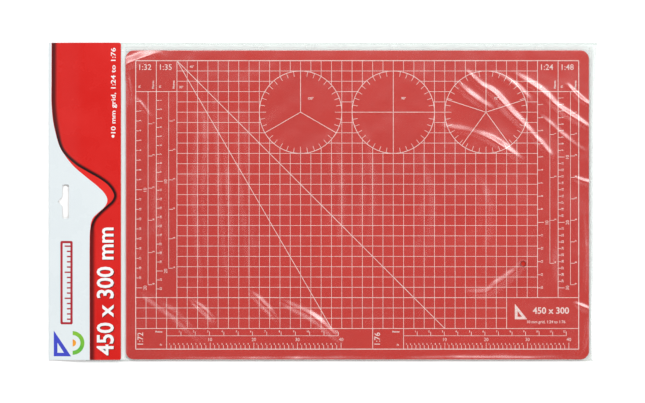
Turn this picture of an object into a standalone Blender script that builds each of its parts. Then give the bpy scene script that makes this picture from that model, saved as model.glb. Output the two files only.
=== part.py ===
"""Self-healing A3 cutting mat in its shop pack: a three-ply mat in a clear film bag, under a folded header card.

Metres, +Z up. The pack lies flat with the header at -X. The origin is the middle of its footprint, at table height.
"""

import math

import bmesh
import bpy

# Footprint of the whole pack
PACK_LENGTH = 0.5320
PACK_WIDTH = 0.3090
PACK_LEFT = -PACK_LENGTH / 2
PACK_RIGHT = PACK_LENGTH / 2
PACK_LOWER = -PACK_WIDTH / 2
PACK_UPPER = PACK_WIDTH / 2

# Cutting mat: an A3 working sheet with a margin, in three bonded plies
MAT_LENGTH = 0.4500
MAT_WIDTH = 0.3000
MAT_CORNER = 0.0085
MAT_FACE_PLY = 0.0009
MAT_CORE_PLY = 0.0010
PLY_GAP = 0.0001
MAT_LEFT = -0.1913
MAT_LOWER = -0.1530
MAT_RIGHT = MAT_LEFT + MAT_LENGTH
MAT_UPPER = MAT_LOWER + MAT_WIDTH
CORNER_STEPS = 8

# Stock that the pack is made from
FILM = 0.00015
CARD = 0.0004
TAPE = 0.0001
LAYER_GAP = 0.0001
MAT_CLEARANCE = 0.00015
SEAM_GAP = 0.0003

# Heights of the layers, from the table up, where the bag's mouth goes into the header
BACK_TAPE_Z = CARD + LAYER_GAP
MOUTH_FILM_Z = BACK_TAPE_Z + TAPE + LAYER_GAP
MAT_Z = MOUTH_FILM_Z + FILM + MAT_CLEARANCE
MAT_THICKNESS = 2 * MAT_FACE_PLY + MAT_CORE_PLY + 2 * PLY_GAP
FRONT_FILM_Z = MAT_Z + MAT_THICKNESS + MAT_CLEARANCE
FRONT_TAPE_Z = FRONT_FILM_Z + FILM + LAYER_GAP
FRONT_CARD_Z = FRONT_TAPE_Z + TAPE + LAYER_GAP

# Header card: one card folded over the bag's mouth
HEADER_RIGHT = -0.1955
HEADER_LOWER = -0.1535
HEADER_UPPER = PACK_UPPER
HEADER_CORNER = 0.0020
CREASE_RADIUS = 0.0010
CREASE_X = PACK_LEFT + CREASE_RADIUS
CREASE_STEPS = 8
CREASE_GAP = 0.0002
RISE_END_X = -0.2310
RISE_STEPS = 10

# Hanging slot for a shop display peg
SLOT_X = -0.2493
SLOT_Y = 0.0003
SLOT_WIDTH = 0.0066
SLOT_LENGTH = 0.0330
SLOT_CORNER = 0.0020
SLOT_PEAK = 0.0044
SLOT_PEAK_HALF = 0.0047
SLOT_PEAK_ROUND = 0.0008

# Film bag
MOUTH_X = -0.2300
FILM_MARGIN = 0.0002
UPPER_WELD = 0.0018
LOWER_WELD = 0.0007
END_LEG = 0.0024
END_FOLD_RADIUS = 0.0005
JOGGLE_START_X = -0.1950
JOGGLE_END_X = -0.1916
VENT_X = 0.1947
VENT_Y = -0.0602
VENT_RADIUS = 0.0025

# Double-sided tape between the card and the film
TAPE_LEFT = -0.2250
TAPE_RIGHT = -0.2060
TAPE_INSET = 0.0060

MAT_RED = (0.60, 0.045, 0.045)
MAT_DARK_RED = (0.48, 0.022, 0.026)
CORE_GREY = (0.55, 0.55, 0.54)
CARD_WHITE = (0.82, 0.85, 0.89)
FILM_CLEAR = (0.86, 0.88, 0.88)
TAPE_AMBER = (0.80, 0.78, 0.70)


def clear_scene():
    for obj in list(bpy.data.objects):
        bpy.data.objects.remove(obj, do_unlink=True)


def make_collection(name):
    collection = bpy.data.collections.new(name)
    bpy.context.scene.collection.children.link(collection)
    return collection


def make_material(name, colour, roughness, alpha=1.0):
    material = bpy.data.materials.new(name)
    material.use_nodes = True
    shader = material.node_tree.nodes["Principled BSDF"]
    shader.inputs["Base Color"].default_value = (*colour, 1.0)
    shader.inputs["Roughness"].default_value = roughness
    shader.inputs["Metallic"].default_value = 0.0
    shader.inputs["Alpha"].default_value = alpha
    return material


def add_object(name, data, collection, material):
    obj = bpy.data.objects.new(name, data)
    collection.objects.link(obj)
    if material is not None:
        obj.data.materials.append(material)
    return obj


def hang_on(obj, pivot):
    """Parents a piece to the empty on its joint's axis, leaving it where it is."""
    obj.parent = pivot
    obj.matrix_parent_inverse = pivot.matrix_world.inverted()


def add_pivot(name, location, collection):
    pivot = bpy.data.objects.new(name, None)
    pivot.location = location
    collection.objects.link(pivot)
    bpy.context.view_layer.update()
    return pivot


def arc(centre, radius, start, end, steps):
    """Points along an arc, with its angles in degrees."""
    points = []
    for step in range(steps + 1):
        angle = math.radians(start + (end - start) * step / steps)
        points.append((centre[0] + radius * math.cos(angle), centre[1] + radius * math.sin(angle)))
    return points


def rounded_rectangle(left, right, lower, upper, radii, steps):
    """An anticlockwise outline; radii are those of the corners from lower left, and 0 leaves one square."""
    corners = (
        (left, lower, 1, 1, 180),
        (right, lower, -1, 1, 270),
        (right, upper, -1, -1, 0),
        (left, upper, 1, -1, 90),
    )
    points = []
    for (x, y, inward_x, inward_y, start), radius in zip(corners, radii):
        if radius == 0:
            points.append((x, y))
            continue
        centre = (x + inward_x * radius, y + inward_y * radius)
        points += arc(centre, radius, start, start + 90, steps)
    return points


def hanging_slot():
    """A long slot with a small rounded peak in the middle of its outer side, which centres the peg."""
    left = SLOT_X - SLOT_WIDTH / 2
    outline = rounded_rectangle(
        left,
        SLOT_X + SLOT_WIDTH / 2,
        SLOT_Y - SLOT_LENGTH / 2,
        SLOT_Y + SLOT_LENGTH / 2,
        (SLOT_CORNER,) * 4,
        4,
    )
    slant = math.degrees(math.atan2(SLOT_PEAK_HALF, SLOT_PEAK))
    tip_centre = (left - SLOT_PEAK + SLOT_PEAK_ROUND / math.sin(math.radians(slant)), SLOT_Y)
    peak = [(left, SLOT_Y + SLOT_PEAK_HALF)]
    peak += arc(tip_centre, SLOT_PEAK_ROUND, 90 + slant, 270 - slant, 4)
    peak += [(left, SLOT_Y - SLOT_PEAK_HALF)]
    return outline + peak


def plate(name, outlines, low, high, collection, material):
    """A flat piece between two heights; outlines after the first are holes in it."""
    curve = bpy.data.curves.new(name, "CURVE")
    curve.dimensions = "2D"
    curve.fill_mode = "BOTH"
    curve.extrude = (high - low) / 2
    for outline in outlines:
        spline = curve.splines.new("POLY")
        spline.points.add(len(outline) - 1)
        for point, (x, y) in zip(spline.points, outline):
            point.co = (x, y, 0.0, 1.0)
        spline.use_cyclic_u = True
    obj = add_object(name, curve, collection, material)
    obj.location.z = (low + high) / 2
    return obj


def solid_plate(name, outlines, low, high, collection, material):
    """The same as a closed mesh, so that a Boolean can use it."""
    flat = plate(name + "_outline", outlines, low, high, collection, material)
    bpy.context.view_layer.update()
    evaluated = flat.evaluated_get(bpy.context.evaluated_depsgraph_get())
    mesh = bpy.data.meshes.new_from_object(evaluated)
    faces = bmesh.new()
    faces.from_mesh(mesh)
    bmesh.ops.remove_doubles(faces, verts=faces.verts, dist=1e-6)
    faces.to_mesh(mesh)
    faces.free()
    obj = add_object(name, mesh, collection, None)
    obj.matrix_world = flat.matrix_world.copy()
    bpy.data.objects.remove(flat, do_unlink=True)
    return obj


def thicken(obj, thickness):
    modifier = obj.modifiers.new("Thickness", "SOLIDIFY")
    modifier.thickness = thickness
    modifier.offset = 0.0
    modifier.use_even_offset = True


def sheet(name, first_edge, second_edge, thickness, collection, material):
    """A thin sheet between two edges, each a list of points along the sheet's middle plane."""
    mesh = bpy.data.meshes.new(name)
    strip = bmesh.new()
    verts = [strip.verts.new(point) for point in first_edge]
    edges = [strip.edges.new(pair) for pair in zip(verts, verts[1:])]
    swept = bmesh.ops.extrude_edge_only(strip, edges=edges)["geom"]
    moved = [item for item in swept if isinstance(item, bmesh.types.BMVert)]
    for vert in moved:
        source = next(e.other_vert(vert) for e in vert.link_edges if e.other_vert(vert) in verts)
        vert.co = second_edge[verts.index(source)]
    bmesh.ops.recalc_face_normals(strip, faces=strip.faces)
    strip.to_mesh(mesh)
    strip.free()
    obj = add_object(name, mesh, collection, material)
    thicken(obj, thickness)
    return obj


def across(profile, lower, upper):
    """The two edges of a sheet whose X-Z profile runs unchanged from lower to upper along Y."""
    return [(x, lower, z) for x, z in profile], [(x, upper, z) for x, z in profile]


def cut(obj, cutter, operation):
    modifier = obj.modifiers.new("Cut", "BOOLEAN")
    modifier.operation = operation
    modifier.solver = "EXACT"
    modifier.object = cutter


def as_cutter(obj):
    obj.hide_render = True
    obj.display_type = "WIRE"


def build_mat(parts):
    outline = rounded_rectangle(MAT_LEFT, MAT_RIGHT, MAT_LOWER, MAT_UPPER, (MAT_CORNER,) * 4, CORNER_STEPS)
    plies = (
        ("mat_bottom_ply", MAT_FACE_PLY, make_material("pvc_underside", MAT_DARK_RED, 0.6)),
        ("mat_core_ply", MAT_CORE_PLY, make_material("pvc_core", CORE_GREY, 0.5)),
        ("mat_top_ply", MAT_FACE_PLY, make_material("pvc_surface", MAT_RED, 0.55)),
    )
    low = MAT_Z
    for name, thickness, material in plies:
        plate(name, [outline], low, low + thickness, parts, material)
        low += thickness + PLY_GAP


def build_bag(parts, cutters, pivot):
    film = make_material("clear_film", FILM_CLEAR, 0.12, 0.35)
    weld = make_material("welded_film", FILM_CLEAR, 0.3, 0.5)
    top = FRONT_FILM_Z + FILM / 2
    foot = MOUTH_FILM_Z + FILM + SEAM_GAP + FILM / 2
    flat_lower = MAT_LOWER - FILM_MARGIN / 2
    flat_upper = MAT_UPPER + FILM_MARGIN / 2
    flat_right = MAT_RIGHT + FILM_MARGIN / 2
    foot_lower = PACK_LOWER + LOWER_WELD
    foot_upper = PACK_UPPER - UPPER_WELD
    foot_right = PACK_RIGHT - END_LEG - SEAM_GAP
    pieces = []

    front = sheet(
        "bag_front_film",
        *across([(MOUTH_X, top), (flat_right, top)], flat_lower, flat_upper),
        FILM, parts, film,
    )
    bpy.ops.mesh.primitive_cylinder_add(vertices=24, radius=VENT_RADIUS, depth=0.004, location=(VENT_X, VENT_Y, top))
    vent = bpy.context.object
    vent.name = "vent_cutter"
    for owner in list(vent.users_collection):
        owner.objects.unlink(vent)
    cutters.objects.link(vent)
    as_cutter(vent)
    cut(front, vent, "DIFFERENCE")
    pieces.append(front)

    back_profile = [
        (MOUTH_X, MOUTH_FILM_Z + FILM / 2),
        (JOGGLE_START_X, MOUTH_FILM_Z + FILM / 2),
        (JOGGLE_END_X, FILM / 2),
        (foot_right, FILM / 2),
    ]
    pieces.append(sheet("bag_back_film", *across(back_profile, PACK_LOWER, PACK_UPPER), FILM, parts, film))

    for name, flat_y, foot_y in (
        ("bag_upper_side", flat_upper + SEAM_GAP, foot_upper - SEAM_GAP),
        ("bag_lower_side", flat_lower - SEAM_GAP, foot_lower + SEAM_GAP),
    ):
        pieces.append(sheet(
            name,
            [(MOUTH_X, flat_y, top), (flat_right, flat_y, top)],
            [(MOUTH_X, foot_y, foot), (foot_right, foot_y, foot)],
            FILM, parts, film,
        ))
    pieces.append(sheet(
        "bag_end_slope",
        [(flat_right + SEAM_GAP, flat_lower, top), (flat_right + SEAM_GAP, flat_upper, top)],
        [(foot_right, foot_lower + 2 * SEAM_GAP, foot), (foot_right, foot_upper - 2 * SEAM_GAP, foot)],
        FILM, parts, film,
    ))

    for name, lower, upper in (
        ("bag_upper_weld", foot_upper, PACK_UPPER),
        ("bag_lower_weld", PACK_LOWER, foot_lower),
    ):
        pieces.append(sheet(
            name,
            *across([(MOUTH_X, foot), (foot_right, foot)], lower, upper),
            2 * FILM, parts, weld,
        ))

    fold_x = PACK_RIGHT - END_FOLD_RADIUS
    middle = END_FOLD_RADIUS - FILM / 2
    fold = [(PACK_RIGHT - END_LEG, END_FOLD_RADIUS + middle)]
    fold += arc((fold_x, END_FOLD_RADIUS), middle, 90, -90, CREASE_STEPS)
    fold += [(PACK_RIGHT - END_LEG, END_FOLD_RADIUS - middle)]
    pieces.append(sheet("bag_end_fold", *across(fold, PACK_LOWER, PACK_UPPER), FILM, parts, film))

    for piece in pieces:
        hang_on(piece, pivot)


def header_outline():
    return rounded_rectangle(
        CREASE_X + CREASE_GAP,
        HEADER_RIGHT,
        HEADER_LOWER,
        HEADER_UPPER,
        (0, HEADER_CORNER, HEADER_CORNER, 0),
        4,
    )


def build_header_back(parts, pivot):
    card = make_material("header_card_back", CARD_WHITE, 0.35)
    crease_card = make_material("header_card_crease", CARD_WHITE, 0.4)
    tape = make_material("back_tape", TAPE_AMBER, 0.5)
    middle = CREASE_RADIUS - CARD / 2
    crease = arc((CREASE_X, CREASE_RADIUS), middle, 90, 270, CREASE_STEPS)
    pieces = (
        plate("header_back_panel", [header_outline(), hanging_slot()], 0.0, CARD, parts, card),
        sheet("header_crease", *across(crease, HEADER_LOWER, HEADER_UPPER), CARD, parts, crease_card),
        tape_strip("header_back_tape", BACK_TAPE_Z, parts, tape),
    )
    for piece in pieces:
        hang_on(piece, pivot)


def tape_strip(name, low, parts, material):
    outline = rounded_rectangle(
        TAPE_LEFT, TAPE_RIGHT, HEADER_LOWER + TAPE_INSET, HEADER_UPPER - TAPE_INSET, (0,) * 4, 1
    )
    return plate(name, [outline], low, low + TAPE, parts, material)


def front_card_profile():
    """The front panel's middle plane: it leaves the crease level, rises in a smooth S and lies flat on the bag."""
    start_x = CREASE_X + CREASE_GAP
    start_z = 2 * CREASE_RADIUS - CARD / 2
    end_z = FRONT_CARD_Z + CARD / 2
    profile = []
    for step in range(RISE_STEPS + 1):
        t = step / RISE_STEPS
        share = t * t * (3 - 2 * t)
        profile.append((start_x + t * (RISE_END_X - start_x), start_z + share * (end_z - start_z)))
    return profile + [(HEADER_RIGHT, end_z)]


def build_header_flap(parts, cutters, pivot):
    card = make_material("header_card_front", CARD_WHITE, 0.3)
    tape = make_material("front_tape", TAPE_AMBER, 0.5)
    overhang = 0.001
    profile = front_card_profile()
    profile[-1] = (HEADER_RIGHT + overhang, profile[-1][1])
    panel = sheet(
        "header_front_panel",
        *across(profile, HEADER_LOWER - overhang, HEADER_UPPER + overhang),
        CARD, parts, card,
    )
    outline = solid_plate(
        "header_outline_cutter", [header_outline(), hanging_slot()], -0.002, 0.010, cutters, None
    )
    as_cutter(outline)
    cut(panel, outline, "INTERSECT")
    hang_on(panel, pivot)
    hang_on(tape_strip("header_front_tape", FRONT_TAPE_Z, parts, tape), pivot)


def main():
    clear_scene()
    parts = make_collection("packed_cutting_mat")
    cutters = make_collection("cutters")
    build_mat(parts)
    build_bag(parts, cutters, add_pivot("bag_slide", (MOUTH_X, 0.0, MAT_Z), parts))
    build_header_back(parts, add_pivot("header_slide", (CREASE_X, 0.0, 0.0), parts))
    build_header_flap(parts, cutters, add_pivot("header_fold", (CREASE_X, 0.0, 2 * CREASE_RADIUS), parts))
    for obj in parts.objects:
        if obj.type == "MESH":
            obj.data.shade_smooth()
            obj.data.set_sharp_from_angle(angle=math.radians(30))


main()
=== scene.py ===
import math
from contextlib import contextmanager

import bmesh
import bpy
import numpy as np
from mathutils import Matrix, Vector


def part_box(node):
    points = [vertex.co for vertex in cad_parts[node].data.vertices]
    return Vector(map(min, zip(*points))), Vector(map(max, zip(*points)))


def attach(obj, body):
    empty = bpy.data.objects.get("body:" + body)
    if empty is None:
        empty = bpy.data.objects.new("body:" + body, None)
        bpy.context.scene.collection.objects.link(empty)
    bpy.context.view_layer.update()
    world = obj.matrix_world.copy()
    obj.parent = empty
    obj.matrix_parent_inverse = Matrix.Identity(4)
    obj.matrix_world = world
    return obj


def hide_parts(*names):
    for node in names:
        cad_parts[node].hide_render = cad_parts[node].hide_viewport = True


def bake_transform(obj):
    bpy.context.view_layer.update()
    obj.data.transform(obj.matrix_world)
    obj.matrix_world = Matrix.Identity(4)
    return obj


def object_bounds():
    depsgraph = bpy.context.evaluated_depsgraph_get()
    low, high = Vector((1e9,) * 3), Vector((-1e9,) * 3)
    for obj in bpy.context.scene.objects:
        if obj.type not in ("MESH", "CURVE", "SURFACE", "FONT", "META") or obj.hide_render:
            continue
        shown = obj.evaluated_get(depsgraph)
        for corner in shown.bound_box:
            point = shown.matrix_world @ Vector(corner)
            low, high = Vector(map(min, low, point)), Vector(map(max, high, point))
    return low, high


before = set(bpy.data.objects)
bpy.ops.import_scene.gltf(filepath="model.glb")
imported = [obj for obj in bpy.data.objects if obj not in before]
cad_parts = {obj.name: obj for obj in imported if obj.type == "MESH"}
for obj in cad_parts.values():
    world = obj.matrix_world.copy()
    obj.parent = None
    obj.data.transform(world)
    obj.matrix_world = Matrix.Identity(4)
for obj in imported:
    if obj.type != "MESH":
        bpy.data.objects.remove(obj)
cad_low, cad_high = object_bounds()

MM = 0.001

# ---- places, read from the CAD parts

mat_low, mat_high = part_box("mat_top_ply")
core_low, core_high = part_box("mat_core_ply")
under_low, under_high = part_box("mat_bottom_ply")
film_low, film_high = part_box("bag_front_film")
card_low, card_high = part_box("header_front_panel")
back_card_low, back_card_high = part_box("header_back_panel")
crease_low, crease_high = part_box("header_crease")
weld_low, weld_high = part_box("bag_upper_weld")
lower_weld_low, lower_weld_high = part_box("bag_lower_weld")
back_film_low, back_film_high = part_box("bag_back_film")

MAT_TOP = mat_high.z
MAT_CORNER = 8.5 * MM
CARD_THICKNESS = back_card_high.z
CREASE_RADIUS = crease_high.z / 2
CREASE_X = crease_high.x
RISE_END_X = film_low.x - 1.0 * MM
HEADER_RIGHT = card_high.x
FILM_THICKNESS = 0.05 * MM
FILM_Z = (film_low.z + film_high.z) / 2

# Hanging slot, as cut in both CAD panels
SLOT_X = -249.3 * MM
SLOT_Y = 0.3 * MM
SLOT_WIDTH = 6.6 * MM
SLOT_LENGTH = 33.0 * MM
SLOT_CORNER = 2.0 * MM
SLOT_PEAK = 4.4 * MM
SLOT_PEAK_HALF = 4.7 * MM

# Printed grid: ten-millimetre cells counted from the border's upper left corner
CELL = 10 * MM
PRINT_MARGIN = 10 * MM
GRID_LEFT = mat_low.x + PRINT_MARGIN
GRID_TOP = mat_high.y - PRINT_MARGIN
COLUMNS = 43
ROWS = 28
INK_HEIGHT = 0.03 * MM
FINE_LINE = 0.42 * MM
RULER_LINE = 0.55 * MM
TICK_LINE = 0.50 * MM
BORDER_LINE = 0.75 * MM
LEVEL_STEP = 0.005 * MM
RING_STEPS = 96
BOLD = 0.07 * MM
FONT_CAP = 0.69


def smoothstep(t):
    t = np.clip(t, 0.0, 1.0)
    return t * t * (3 - 2 * t)


# ---- materials

def set_stops(ramp, stops):
    """Gives a colour ramp its stops: (position, colour or grey value)."""
    while len(ramp.elements) < len(stops):
        ramp.elements.new(0.5)
    for element, (position, colour) in zip(ramp.elements, stops):
        element.position = position
        element.color = (colour, colour, colour, 1) if isinstance(colour, float) else (*colour, 1)


class Nodes:
    """A short way to add nodes to one material and link them."""

    def __init__(self, name):
        self.material = bpy.data.materials.new(name)
        self.material.use_nodes = True
        self.tree = self.material.node_tree
        self.shader = self.tree.nodes["Principled BSDF"]
        self.output = self.tree.nodes["Material Output"]
        self.coords = self.add("ShaderNodeTexCoord").outputs["Object"]

    def add(self, kind, **inputs):
        node = self.tree.nodes.new(kind)
        for key, value in inputs.items():
            self.feed(node.inputs[key.replace("_", " ")], value)
        return node

    def feed(self, socket, value):
        if isinstance(value, bpy.types.NodeSocket):
            self.tree.links.new(value, socket)
        else:
            socket.default_value = (*value, 1) if socket.type == "RGBA" else value

    def noise(self, scale, detail=3.0, roughness=0.5, stretch=None):
        vector = self.coords
        if stretch is not None:
            vector = self.add("ShaderNodeMapping", Vector=vector, Scale=stretch).outputs["Vector"]
        node = self.add("ShaderNodeTexNoise", Vector=vector, Scale=scale, Detail=detail, Roughness=roughness)
        return node.outputs["Fac"]

    def attribute(self, name):
        """A value kept on the mesh; it is 0 where the mesh has none."""
        node = self.add("ShaderNodeAttribute")
        node.attribute_name = name
        return node.outputs["Fac"]

    def ramp(self, value, stops):
        node = self.add("ShaderNodeValToRGB", Fac=value)
        set_stops(node.color_ramp, stops)
        return node.outputs["Color"]

    def math(self, operation, first, second):
        node = self.add("ShaderNodeMath")
        node.operation = operation
        self.feed(node.inputs[0], first)
        self.feed(node.inputs[1], second)
        return node.outputs["Value"]

    def mix(self, factor, first, second):
        """The first colour where the factor is 0, and the second where it is 1."""
        node = self.add("ShaderNodeMix")
        node.data_type = "RGBA"
        for key, value in (("Factor", factor), ("A", first), ("B", second)):
            self.feed(node.inputs[key], value)
        return node.outputs["Result"]

    def layered(self, factor, under, over):
        """The first shader where the factor is 0, and the second where it is 1."""
        node = self.add("ShaderNodeMixShader", Fac=factor)
        self.feed(node.inputs[1], under.outputs[0])
        self.feed(node.inputs[2], over.outputs[0])
        return node

    def bump(self, height, strength, distance):
        node = self.add("ShaderNodeBump", Height=height, Strength=strength, Distance=distance)
        return node.outputs["Normal"]

    def surface(self, **inputs):
        for key, value in inputs.items():
            self.feed(self.shader.inputs[key.replace("_", " ")], value)
        return self.material


def scaled(colour, factor):
    return tuple(c * factor for c in colour)


def pvc(name, light, dark, grain, gloss):
    """Calendered PVC: a fine leathery grain over faint, broad colour clouds."""
    n = Nodes(name)
    clouds = n.noise(9.0, 4.0, 0.55)
    fine = n.noise(1400.0, 2.0, 0.6)
    colour = n.ramp(clouds, [(0.3, dark), (0.7, light)])
    speckled = n.mix(n.ramp(fine, [(0.35, 0.10), (0.65, 0.0)]), colour, dark)
    return n.surface(
        Base_Color=speckled,
        Roughness=n.ramp(n.noise(60.0), [(0.3, gloss - 0.05), (0.7, gloss + 0.07)]),
        Specular_IOR_Level=0.2,
        Normal=n.bump(fine, 0.35, grain),
    )


def ink():
    """Screen-printed ink: pinkish white, a little thin where it has sunk into the grain."""
    n = Nodes("screen_ink")
    wear = n.noise(420.0, 4.0, 0.7)
    colour = n.ramp(wear, [(0.30, (0.64, 0.40, 0.38)), (0.55, (0.77, 0.61, 0.58))])
    return n.surface(Base_Color=colour, Roughness=0.5, Normal=n.bump(n.noise(1400.0), 0.2, 0.02 * MM))


def board():
    """Paper board: short fibres lying mostly one way."""
    n = Nodes("card_board")
    fibres = n.noise(260.0, 5.0, 0.7, (1.0, 0.25, 1.0))
    colour = (0.72, 0.72, 0.69)
    return n.surface(
        Base_Color=n.ramp(fibres, [(0.35, scaled(colour, 0.93)), (0.65, colour)]),
        Roughness=n.ramp(n.noise(90.0), [(0.3, 0.58), (0.7, 0.68)]),
        Normal=n.bump(fibres, 0.4, 0.03 * MM),
    )


def varnish_bump(n):
    """The faint orange peel of the varnish over the print."""
    return n.bump(n.noise(300.0), 0.12, 0.02 * MM)


def printed(name, colour, second):
    """Litho print under varnish: dots too fine to see singly, and a faint unevenness of the ink."""
    n = Nodes(name)
    cloud = n.noise(22.0, 4.0, 0.6)
    dots = n.noise(1800.0, 1.0, 0.5)
    base = n.ramp(cloud, [(0.3, second), (0.7, colour)])
    lighter = tuple(min(1.0, c + 0.12) for c in colour)
    return n.surface(
        Base_Color=n.mix(n.ramp(dots, [(0.4, 0.0), (0.7, 0.06)]), base, lighter),
        Roughness=n.ramp(cloud, [(0.3, 0.23), (0.7, 0.33)]),
        Specular_IOR_Level=0.22,
        Normal=varnish_bump(n),
    )


def shaded_print():
    """The soft dark edge of the printed band, from the piece's own shade attribute."""
    n = Nodes("varnished_dark_edge")
    grainy = n.math("ADD", n.attribute("shade"), n.math("MULTIPLY", n.noise(900.0, 2.0), 0.06))
    stops = [(0.03, BAND_RED), (0.55, scaled(BAND_RED, 0.28)), (0.95, (0.010, 0.001, 0.002))]
    return n.surface(
        Base_Color=n.ramp(grainy, stops), Roughness=0.27, Specular_IOR_Level=0.3, Normal=varnish_bump(n)
    )


def clear_film(name, tint, haze, gloss, rub, shine):
    """Thin clear film: a slight tint for what is seen through it, a little mirroring and a faint haze.

    Where the mesh's milk value rises, the film turns whiter and duller: its tint is fully changed from
    1/6 on, and its mirroring falls to a fifth at 0.2. The milk value is partly the real milkiness of doubled
    film and partly painted light: whitening that hides shade, and a painted highlight line.
    """
    n = Nodes(name)
    milk_and_painted_light = n.attribute("milk_and_painted_light")
    milky_tint = tuple(c * k for c, k in zip(tint, (0.975, 0.984, 0.980)))
    whitening = n.math("MINIMUM", n.math("MULTIPLY", milk_and_painted_light, 6.0), 1.0)
    clear = n.add("ShaderNodeBsdfTransparent", Color=n.mix(whitening, tint, milky_tint))
    back = n.add("ShaderNodeBsdfDiffuse", Color=FILM_WHITE)
    through = n.add("ShaderNodeBsdfTranslucent", Color=FILM_WHITE)
    rubbed = n.ramp(n.noise(55.0, 5.0, 0.65), [(0.42, haze), (0.75, haze + rub)])
    body = n.layered(n.math("ADD", rubbed, milk_and_painted_light), clear, n.layered(0.4, back, through))
    normal = n.bump(n.noise(45.0, 2.0, 0.4), 0.12, 0.10 * MM)
    mirror = n.add("ShaderNodeBsdfGlossy", Color=(0.96, 0.98, 0.98), Roughness=gloss, Normal=normal)
    leaving = n.add("ShaderNodeNewGeometry").outputs["Backfacing"]
    index = n.math("ADD", n.math("MULTIPLY", leaving, 1 / FILM_INDEX - FILM_INDEX), FILM_INDEX)
    fresnel = n.add("ShaderNodeFresnel", IOR=index, Normal=normal).outputs["Fac"]
    sheen = n.math("MULTIPLY", n.math("SUBTRACT", 1.0, n.math("MULTIPLY", milk_and_painted_light, 4.0)), shine)
    sheen = n.math("MULTIPLY", n.math("MAXIMUM", sheen, 0.2 * shine), fresnel)
    n.feed(n.output.inputs["Surface"], n.layered(sheen, body, mirror).outputs[0])
    n.tree.nodes.remove(n.shader)
    return n.material


def tape_material():
    n = Nodes("double_sided_tape")
    threads = n.noise(500.0, 3.0, 0.6, (0.15, 1.0, 1.0))
    return n.surface(
        Base_Color=n.ramp(threads, [(0.3, (0.62, 0.58, 0.46)), (0.7, (0.84, 0.82, 0.74))]),
        Roughness=0.42,
        Alpha=0.75,
        Normal=n.bump(threads, 0.3, 0.02 * MM),
    )


BAND_RED = (0.575, 0.011, 0.008)
FILM_WHITE = (0.96, 0.99, 0.98)
FILM_INDEX = 1.5

MAT_RED = pvc("pvc_face", (0.497, 0.012, 0.003), (0.452, 0.008, 0.002), 0.02 * MM, 0.45)
MAT_CORE = pvc("pvc_core", (0.62, 0.62, 0.60), (0.50, 0.50, 0.49), 0.03 * MM, 0.55)
MAT_UNDER = pvc("pvc_underside", (0.50, 0.020, 0.024), (0.42, 0.012, 0.016), 0.05 * MM, 0.60)
INK = ink()
BOARD = board()
WHITE_PRINT = printed("varnished_white", (0.640, 0.690, 0.705), (0.620, 0.672, 0.692))
RED_PRINT = printed("varnished_red", BAND_RED, (0.535, 0.008, 0.006))
BRIGHT_RED = printed("varnished_bright_red", (0.640, 0.018, 0.013), (0.610, 0.012, 0.009))
TITLE_WHITE = printed("varnished_title", (0.78, 0.78, 0.78), (0.74, 0.74, 0.74))
SHADOW_PRINT = printed("varnished_shadow", (0.11, 0.004, 0.006), (0.07, 0.003, 0.004))
ICON_RED = printed("varnished_icon_red", (0.36, 0.010, 0.022), (0.31, 0.008, 0.018))
ICON_BLUE = printed("varnished_icon_blue", (0.035, 0.045, 0.42), (0.045, 0.060, 0.50))
ICON_GREEN = printed("varnished_icon_green", (0.05, 0.36, 0.04), (0.40, 0.55, 0.02))
ICON_ORANGE = printed("varnished_icon_orange", (0.75, 0.33, 0.02), (0.66, 0.16, 0.02))
EDGE_PRINT = shaded_print()
FILM = clear_film("clear_film", (0.994, 0.999, 0.997), 0.0005, 0.26, 0.005, 1.0)
FILM_ON_TABLE = clear_film("clear_film_on_table", (0.997, 1.0, 0.999), 0.004, 0.25, 0.008, 0.25)
WELD = clear_film("welded_film", (0.902, 0.924, 0.914), 0.10, 0.22, 0.06, 0.6)
# Painted shade: a dark tint for the ring of film round the vent hole.
VENT_SHADE = clear_film("film_painted_vent_shade", (0.70, 0.62, 0.62), 0.0, 0.30, 0.0, 0.3)
TAPE = tape_material()


# ---- mesh helpers

def new_object(name, mesh, material):
    obj = bpy.data.objects.new(name, mesh)
    bpy.context.scene.collection.objects.link(obj)
    if material is not None:
        mesh.materials.append(material)
    return obj


def place(obj, body, slot, *replaced):
    """Attaches the piece to the body it moves with and hides the CAD parts it replaces; the slot is not used.
    """
    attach(obj, body)
    if replaced:
        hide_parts(*replaced)


def arc(centre, radius, start, end, steps):
    angles = np.radians(np.linspace(start, end, steps + 1))
    return [(centre[0] + radius * math.cos(a), centre[1] + radius * math.sin(a)) for a in angles]


def rounded_rectangle(left, right, lower, upper, radii, steps=12):
    """An outline from the lower left corner round, with one radius for each corner."""
    points = []
    turns = zip((left, right, right, left), (lower, lower, upper, upper), (180, 270, 0, 90), radii)
    for x, y, start, radius in turns:
        centre = (x + radius if x == left else x - radius, y + radius if y == lower else y - radius)
        points += arc(centre, radius, start, start + 90, steps) if radius else [(x, y)]
    return points


def box_outline(low, high, radii, steps):
    return rounded_rectangle(low.x, high.x, low.y, high.y, radii, steps)


def circle(x, y, radius, steps=32):
    return arc((x, y), radius, 0, 360 - 360 / steps, steps - 1)


def hanging_slot():
    """The slot's outline: upright, with a small peak at the middle of its left side."""
    left, right = SLOT_X - SLOT_WIDTH / 2, SLOT_X + SLOT_WIDTH / 2
    lower, upper = SLOT_Y - SLOT_LENGTH / 2, SLOT_Y + SLOT_LENGTH / 2
    peak = [(left, SLOT_Y + SLOT_PEAK_HALF), (left - SLOT_PEAK, SLOT_Y), (left, SLOT_Y - SLOT_PEAK_HALF)]
    return rounded_rectangle(left, right, lower, upper, (SLOT_CORNER,) * 4, 8) + peak


def evaluated(obj):
    """A new mesh of the object as it looks with its modifiers; a curve or a text comes filled."""
    bpy.context.view_layer.update()
    return bpy.data.meshes.new_from_object(obj.evaluated_get(bpy.context.evaluated_depsgraph_get()))


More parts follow.
